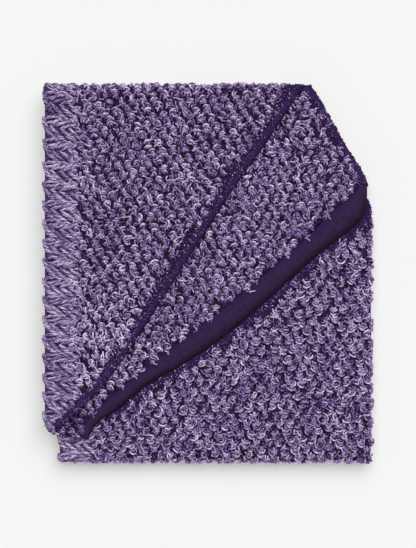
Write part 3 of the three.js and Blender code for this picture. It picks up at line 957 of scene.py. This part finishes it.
def middleDim(x, y):
    return (1.02 - 0.26 * smooth(132, 158, -y)) * (0.84 + 0.16 * smooth(1, 8, distanceTo(shoulderInner, x, y)))


ends = shifted(middleLeft, -wideEdge), shifted(middleRight, -0.5), middleLayer.near - wideEdge, farFold + 1
stitchesOn("middlePanelStitches", middleEntry, middleLayer, middleKnit, *ends, middleDim, keep=middleShows)
middleStrip = {"outer": middleOuter, "inner": middleInner, "under": 3, "tuck": 0, "count": 150, "look": bindingLook}
shoulderStrip = {"outer": shoulderOuter, "inner": shoulderInner, "under": 3, "tuck": 2, "count": 60, "look": dottedLook}
middleBand = bandShell("middleEdgeBand", middleStrip, "middle_edge_band")
shoulderBand = bandShell("shoulderEdgeBand", shoulderStrip, "shoulder_edge_band")

# Top layer: a bound margin, wider towards the far fold, lies between its stitches and its band.
topMargin = lambda y: 1.2 + 1.8 * smooth(-110, -10, y) + 2.2 * smooth(40, 180, y)
boundTop = lambda x, y: 1 - smooth(topMargin(y), topMargin(y) + 3, distanceTo(topInner, x, y))
left = lambda y: np.minimum(borderSeam + halfGap, acrossAt(topInner, y) - 0.5)
right = across(topInner, -0.2)
topEntry = clothShell("topPanelCloth", "top_panel", topLayer, left, right, (60, 96), "left", -149, boundTop)
left, right = (lambda y: borderSeam - 6.5), (lambda y: acrossAt(topInner, y) - 1.2 * (topMargin(y) + 1.8))
topDim = lambda x, y: 1.03 + 0.13 * smooth(-10, 70, -y)
stitchesOn("topPanelStitches", topEntry, topLayer, moss, left, right, -165, topLayer.end, topDim)
sides = topBorderEdge, (lambda y: np.minimum(borderSeam - halfGap, acrossAt(topInner, y) - 0.3))
topBorderEntry = clothShell("topBorderCloth", "top_border", topLayer, *sides, (14, 150), start=-176, slot=plaited)
topStrip = {"outer": topOuter, "inner": topInner, "under": 4, "tuck": 0, "count": 150, "look": dottedLook}
topBand = bandShell("topEdgeBand", topStrip, "top_edge_band")
print("cloth and stitches made")


# Plaited borders. Under the layers above it the lower one needs only the legs that come round its edge.
def plaits(name, entry, layer, limit, groups, rng):
    edge = lambda y: layer.left(np.clip(y, -200, 200))
    legs = [(starts, leg) for starts, chosen in groups for leg in chosen]
    batches = [batch for starts, leg in legs for batch in legYarn(layer, edge, limit, starts, leg, rng)]
    yarnPiece(name, batches, entry)


rng = np.random.default_rng(51)
quarter = folding["chevronPitch"] / 4
topGroups = [(chevronStarts(-7, 10), chevron)]
lowerGroups = [(chevronStarts(-9, -8) - quarter, chevron), (chevronStarts(-7, 9) - quarter, chevron[:1])]
plaits("topBorderPlaits", topBorderEntry, topLayer, across(topInner, 1), topGroups, rng)
plaits("lowerBorderPlaits", lowerBorderEntry, lowerLayer, lambda y: 0 * y, lowerGroups, rng)

# The tip's darker, twisted yarn.
tipKnit = dict(moss, pitch=(8.0, 7.5), half=(4, 5), crest=0.2, pale=(0.3, 0.9), seed=52)
left, right = shifted(topBorderEdge, -3), across(topInner, -1)
stitchesOn("topTipStitches", topBorderEntry, topLayer, tipKnit, left, right, -180, -166, 0.9, plaited)


# Small loops that hang out at the near fold, each an open ring that stands out from the cloth.
def foldLoops(layer, low, high, knit, rng):
    n = int((high - low) / knit["step"])
    x = low + (np.arange(n) + rng.uniform(0.2, 0.8, n)) * (high - low) / n
    angle = rng.normal(1.25, 0.1, n) * folding["foldRadius"]
    size = rng.uniform(*knit["size"], n)[:, None]
    t = np.linspace(-2.3, 2.3, 8)
    lean = rng.normal(0, 0.3, n)[:, None]
    x = x[:, None] + size * np.sin(t) + lean * size * np.cos(t)
    place = layer.at(x, layer.near - angle[:, None], knit["rise"] + size * np.cos(t))[0]
    return strands(place, (0.0, 0.0, 1.0), knit["thick"], rng.uniform(*knit["tone"], (n, 1)))


loopKnit = {"step": 11, "size": (1.4, 2.5), "rise": 0.7, "tone": (0.6, 1.0), "thick": 0.85}
loops = foldLoops(lowerLayer, -150, 172, loopKnit, np.random.default_rng(71))
yarnPiece("nearFoldLoops", [loops], lowerEntry)

# Nubs in the bands
dots = {
    "count": 420,
    "run": (0, 1),
    "share": (-0.1, 0.85),
    "long": (0.5, 1.2),
    "rise": 0.3,
    "thick": 0.8,
    "pale": 0.07,
    "tone": (0.42, 0.75),
    "dull": (0.1, 0.34),
}
foot = dict(dots, count=110, run=(0.72, 1), share=(0.62, 0.98), long=(1.2, 2.6), rise=0.5, dull=(0.08, 0.36), pale=0.02)
ridge = dict(dots, count=46, share=(0.88, 0.98), long=(1.2, 2.4), rise=0.4, thick=0.95, pale=0)
rng = np.random.default_rng(62)
for title, entry, band, knit in (
    ("topBandNubs", topBand, topStrip, dots),
    ("topFootStrands", topBand, topStrip, foot),
    ("shoulderBandNubs", shoulderBand, shoulderStrip, dict(dots, count=130, pale=0.02)),
    ("shoulderRidge", shoulderBand, shoulderStrip, ridge),
):
    yarnPiece(title, [bandNubs(band, knit, rng)], entry)

# Nubs in the bound cloth beside the bands: where each group lies along its line, and its rows' distances from it
nubKnit = {
    "step": 3.2,
    "share": 0.85,
    "long": (0.5, 1.6),
    "height": 0.0,
    "thick": 0.7,
    "pale": 0.16,
    "paleTone": (0.5, 0.88),
    "tone": (0.14, 0.46),
}
lowNubs = dict(nubKnit, height=-0.4)
footKnit = dict(nubKnit, rows=(0.4, 2.0), step=2.4, long=(1.2, 2.6), tone=(0.1, 0.42), pale=0.05)
rng = np.random.default_rng(61)
for title, entry, line, layer, knit in (
    ("topEdgeNubs", topBand, topInner[:190], topLayer, dict(nubKnit, rows=(0.3, 2.2, 4.0))),
    ("topMarginNubs", topBand, topInner[:110], topLayer, dict(nubKnit, rows=(5.6, 7.0))),
    ("topFootNubs", topBand, topInner[190:], topLayer, footKnit),
    ("shoulderNubs", shoulderBand, shoulderInner, middleLayer, dict(nubKnit, rows=(-3.5, -1.5, 0.6), pale=0.12)),
    ("lowerEdgeNubs", lowerEntry, middleOuter[80:], lowerLayer, dict(lowNubs, rows=(-2.6, -4.3, -6.0, -7.6))),
    ("lowerPointNubs", lowerEntry, middleOuter[20:100], lowerLayer, dict(lowNubs, rows=(-6.5, -8.5, -10.5))),
):
    yarnPiece(title, nubs(line, layer, knit, rng), entry)

for sheet in sheets:
    flat, area = [v * mm for v in sheet["flat"]], sheet["area"] * mm * mm
print("borders, bands and nubs made")


# Floor, light and camera

stage = {
    "floorTone": 0.62,
    "floorGlow": 0.31,
    "sky": 0.22,
    "sun": 2.88,
    "sunSpread": 62,
    "sunFrom": (0.14, 0.62, 1.0),
    "lens": 120,
    "framed": 602.8,
    "aim": (0.55, -1.1, 24),
}
bpy.ops.mesh.primitive_plane_add(size=8, location=(0, 0, -0.0003))
floor = bpy.context.object
floor.name = "floor"
look = Finish("pale_floor", Roughness=0.9, Specular_IOR_Level=0.0, Emission_Strength=stage["floorGlow"])
tone = stage["floorTone"]
look.shader.inputs["Base Color"].default_value = (tone, tone, tone, 1)
floor.data.materials.append(look.material)

world = bpy.data.worlds.new("studio")
world.use_nodes = True
sky = world.node_tree.nodes["Background"].inputs
sky[0].default_value, sky[1].default_value = (1, 1, 1, 1), stage["sky"]
bpy.context.scene.world = world
sunLight = bpy.data.lights.new("softSun", "SUN")
sunLight.energy, sunLight.angle = stage["sun"], math.radians(stage["sunSpread"])
sun = bpy.data.objects.new("softSun", sunLight)
sun.rotation_mode = "QUATERNION"
sun.rotation_quaternion = Vector(stage["sunFrom"]).to_track_quat("Z", "Y")
bpy.context.scene.collection.objects.link(sun)

camera = bpy.data.objects.new("camera", bpy.data.cameras.new("camera"))
camera.data.lens = stage["lens"]
x, y, z = (v * mm for v in stage["aim"])
camera.location = (x, y, z + stage["framed"] * mm * stage["lens"] / camera.data.sensor_width)
camera.data.clip_end = 50
bpy.context.scene.collection.objects.link(camera)
bpy.context.scene.camera = camera
bpy.context.scene.view_settings.view_transform = "Standard"
